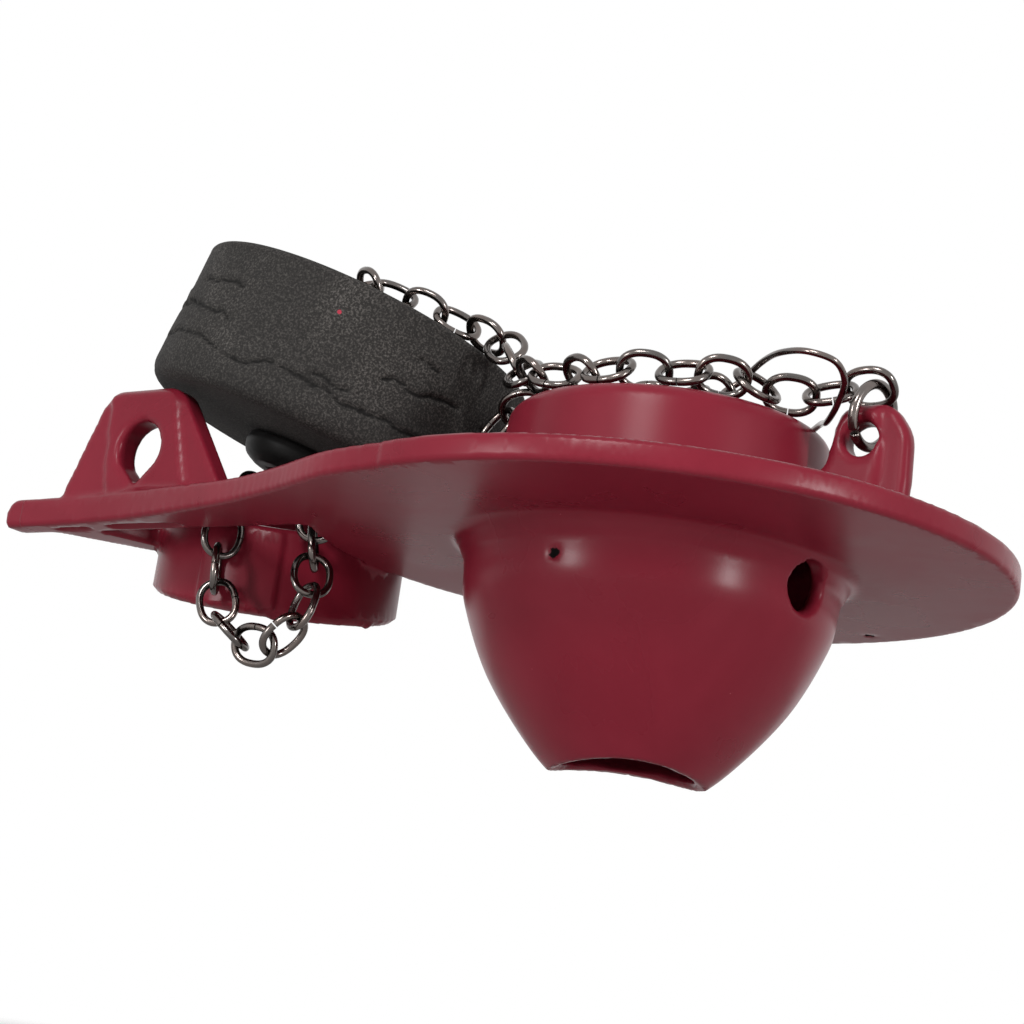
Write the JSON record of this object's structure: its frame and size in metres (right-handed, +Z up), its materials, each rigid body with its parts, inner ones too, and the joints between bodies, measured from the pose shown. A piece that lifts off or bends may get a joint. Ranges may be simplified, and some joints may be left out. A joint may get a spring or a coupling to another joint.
{
  "type": "toilet flapper",
  "caption": "Rubber flush-valve flapper with a hollow bell, two hinge ears, an overflow-tube ring, a foam float and a chain with a lever clip.",
  "frame": {"origin": "centre of the seat plane, the flat underside of the disc that closes the flush valve", "axes": "+Z up, away from the valve; +X from the hinge end to the chain ear; +Y to the far hinge ear"},
  "size_m": [0.1623, 0.106, 0.0815],
  "materials": {
    "rubber": "satin moulded red rubber",
    "foam": "matte closed-cell foam",
    "hub_plastic": "gloss black",
    "steel_wire": "bright wire",
    "chain_steel": "bright nickel wire"
  },
  "bodies": {
    "root": {"flapper_body": "rubber", "foam_float": "foam", "float_hub": "hub_plastic", "hook_ring": "steel_wire", "lever_clip": "steel_wire", "chain_link_01": "chain_steel", "chain_link_02": "chain_steel", "chain_link_03": "chain_steel", "chain_link_04": "chain_steel", "chain_link_05": "chain_steel", "chain_link_06": "chain_steel", "chain_link_07": "chain_steel", "chain_link_08": "chain_steel", "chain_link_09": "chain_steel", "chain_link_10": "chain_steel", "chain_link_11": "chain_steel", "chain_link_12": "chain_steel", "chain_link_13": "chain_steel", "chain_link_14": "chain_steel", "chain_link_15": "chain_steel", "chain_link_16": "chain_steel", "chain_link_17": "chain_steel", "chain_link_18": "chain_steel", "chain_link_19": "chain_steel", "chain_link_20": "chain_steel", "chain_link_21": "chain_steel", "chain_link_22": "chain_steel", "chain_link_23": "chain_steel", "chain_link_24": "chain_steel", "chain_link_25": "chain_steel", "chain_link_26": "chain_steel", "chain_link_27": "chain_steel", "chain_link_28": "chain_steel", "chain_link_29": "chain_steel", "chain_link_30": "chain_steel", "chain_link_31": "chain_steel", "chain_link_32": "chain_steel", "chain_link_33": "chain_steel", "chain_link_34": "chain_steel", "chain_link_35": "chain_steel", "chain_link_36": "chain_steel", "chain_link_37": "chain_steel", "chain_link_38": "chain_steel", "chain_link_39": "chain_steel", "chain_link_40": "chain_steel", "chain_link_41": "chain_steel", "chain_link_42": "chain_steel", "chain_link_43": "chain_steel", "chain_link_44": "chain_steel", "chain_link_45": "chain_steel", "chain_link_46": "chain_steel", "chain_link_47": "chain_steel", "chain_link_48": "chain_steel", "chain_link_49": "chain_steel", "chain_link_50": "chain_steel", "chain_link_51": "chain_steel", "chain_link_52": "chain_steel", "chain_link_53": "chain_steel", "chain_link_54": "chain_steel"}
  },
  "joints": []
}
